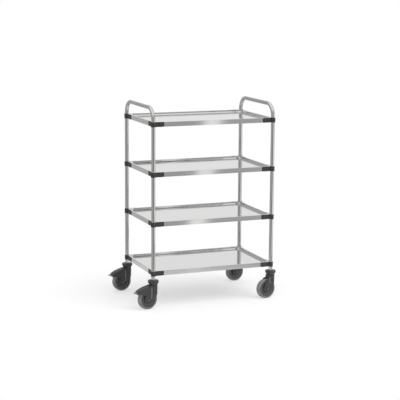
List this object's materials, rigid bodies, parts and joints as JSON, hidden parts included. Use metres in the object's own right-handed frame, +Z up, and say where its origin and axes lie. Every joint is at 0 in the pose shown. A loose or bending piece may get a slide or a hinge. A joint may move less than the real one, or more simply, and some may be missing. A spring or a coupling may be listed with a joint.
{
  "type": "utility cart",
  "caption": "Stainless steel utility cart with recessed shelf trays between bent tube end frames with push handles, moulded corner connectors and swivel castors, braked at one end.",
  "frame": {"origin": "on the floor under the middle of the cart's outline", "axes": "+X along the long side towards the plain castors, +Y towards the rear, +Z up"},
  "size_m": [0.9688, 0.5796, 1.2595],
  "materials": {
    "stainless_tube": "brushed round the tube",
    "stainless_sheet": "fine brushed",
    "connector_plastic": "fine grained",
    "castor_plastic": "fine grained",
    "pedal_plastic": "fine grained",
    "wheel_plastic": "smooth moulded",
    "tread_rubber": "matt",
    "plated_steel": "zinc plated",
    "bearing_steel": "ground"
  },
  "bodies": {
    "frame": {"end_frame_left": "stainless_tube", "end_frame_right": "stainless_tube", "shelf_tray_bottom": "stainless_sheet", "shelf_tray_lower": "stainless_sheet", "shelf_tray_upper": "stainless_sheet", "shelf_tray_top": "stainless_sheet", "corner_bottom_front_left": "connector_plastic", "corner_bottom_rear_left": "connector_plastic", "corner_bottom_front_right": "connector_plastic", "corner_bottom_rear_right": "connector_plastic", "corner_lower_front_left": "connector_plastic", "corner_lower_rear_left": "connector_plastic", "corner_lower_front_right": "connector_plastic", "corner_lower_rear_right": "connector_plastic", "corner_upper_front_left": "connector_plastic", "corner_upper_rear_left": "connector_plastic", "corner_upper_front_right": "connector_plastic", "corner_upper_rear_right": "connector_plastic", "corner_top_front_left": "connector_plastic", "corner_top_rear_left": "connector_plastic", "corner_top_front_right": "connector_plastic", "corner_top_rear_right": "connector_plastic", "tray_screws": "plated_steel", "castor_stem_front_left": "plated_steel", "castor_stem_rear_left": "plated_steel", "castor_stem_front_right": "plated_steel", "castor_stem_rear_right": "plated_steel"},
    "swivel_front_left": {"swivel_cap_front_left": "castor_plastic", "swivel_bearings_front_left": "bearing_steel", "castor_fork_front_left": "castor_plastic", "axle_front_left": "plated_steel", "brake_pin_front_left": "plated_steel"},
    "wheel_front_left": {"wheel_core_front_left": "wheel_plastic", "tyre_front_left": "tread_rubber", "wheel_bearings_front_left": "bearing_steel"},
    "pedal_front_left": {"brake_pedal_front_left": "pedal_plastic"},
    "swivel_rear_left": {"swivel_cap_rear_left": "castor_plastic", "swivel_bearings_rear_left": "bearing_steel", "castor_fork_rear_left": "castor_plastic", "axle_rear_left": "plated_steel", "brake_pin_rear_left": "plated_steel"},
    "wheel_rear_left": {"wheel_core_rear_left": "wheel_plastic", "tyre_rear_left": "tread_rubber", "wheel_bearings_rear_left": "bearing_steel"},
    "pedal_rear_left": {"brake_pedal_rear_left": "pedal_plastic"},
    "swivel_front_right": {"swivel_cap_front_right": "castor_plastic", "swivel_bearings_front_right": "bearing_steel", "castor_fork_front_right": "castor_plastic", "axle_front_right": "plated_steel"},
    "wheel_front_right": {"wheel_core_front_right": "wheel_plastic", "tyre_front_right": "tread_rubber", "wheel_bearings_front_right": "bearing_steel"},
    "swivel_rear_right": {"swivel_cap_rear_right": "castor_plastic", "swivel_bearings_rear_right": "bearing_steel", "castor_fork_rear_right": "castor_plastic", "axle_rear_right": "plated_steel"},
    "wheel_rear_right": {"wheel_core_rear_right": "wheel_plastic", "tyre_rear_right": "tread_rubber", "wheel_bearings_rear_right": "bearing_steel"}
  },
  "joints": [
    {"name": "swivel_turn_front_left", "type": "hinge", "parent": "frame", "child": "swivel_front_left", "pos_m": [-0.3496, -0.25215, 0.157], "axis": [0, 0, 1], "continuous": true},
    {"name": "wheel_roll_front_left", "type": "hinge", "parent": "swivel_front_left", "child": "wheel_front_left", "pos_m": [-0.39119, -0.258, 0.0625], "axis": [-0.1392, 0.9903, 0], "continuous": true},
    {"name": "pedal_press_front_left", "type": "hinge", "parent": "swivel_front_left", "child": "pedal_front_left", "pos_m": [-0.44467, -0.26551, 0.11199], "axis": [0.1392, -0.9903, 0], "range_deg": [0, 8]},
    {"name": "swivel_turn_rear_left", "type": "hinge", "parent": "frame", "child": "swivel_rear_left", "pos_m": [-0.3496, 0.25585, 0.157], "axis": [0, 0, 1], "continuous": true},
    {"name": "wheel_roll_rear_left", "type": "hinge", "parent": "swivel_rear_left", "child": "wheel_rear_left", "pos_m": [-0.39119, 0.25, 0.0625], "axis": [-0.1392, 0.9903, 0], "continuous": true},
    {"name": "pedal_press_rear_left", "type": "hinge", "parent": "swivel_rear_left", "child": "pedal_rear_left", "pos_m": [-0.44467, 0.24249, 0.11199], "axis": [0.1392, -0.9903, 0], "range_deg": [0, 8]},
    {"name": "swivel_turn_front_right", "type": "hinge", "parent": "frame", "child": "swivel_front_right", "pos_m": [0.4504, -0.25215, 0.157], "axis": [0, 0, 1], "continuous": true},
    {"name": "wheel_roll_front_right", "type": "hinge", "parent": "swivel_front_right", "child": "wheel_front_right", "pos_m": [0.41574, -0.25702, 0.0625], "axis": [-0.1392, 0.9903, 0], "continuous": true},
    {"name": "swivel_turn_rear_right", "type": "hinge", "parent": "frame", "child": "swivel_rear_right", "pos_m": [0.4504, 0.25585, 0.157], "axis": [0, 0, 1], "continuous": true},
    {"name": "wheel_roll_rear_right", "type": "hinge", "parent": "swivel_rear_right", "child": "wheel_rear_right", "pos_m": [0.41574, 0.25098, 0.0625], "axis": [-0.1392, 0.9903, 0], "continuous": true}
  ]
}
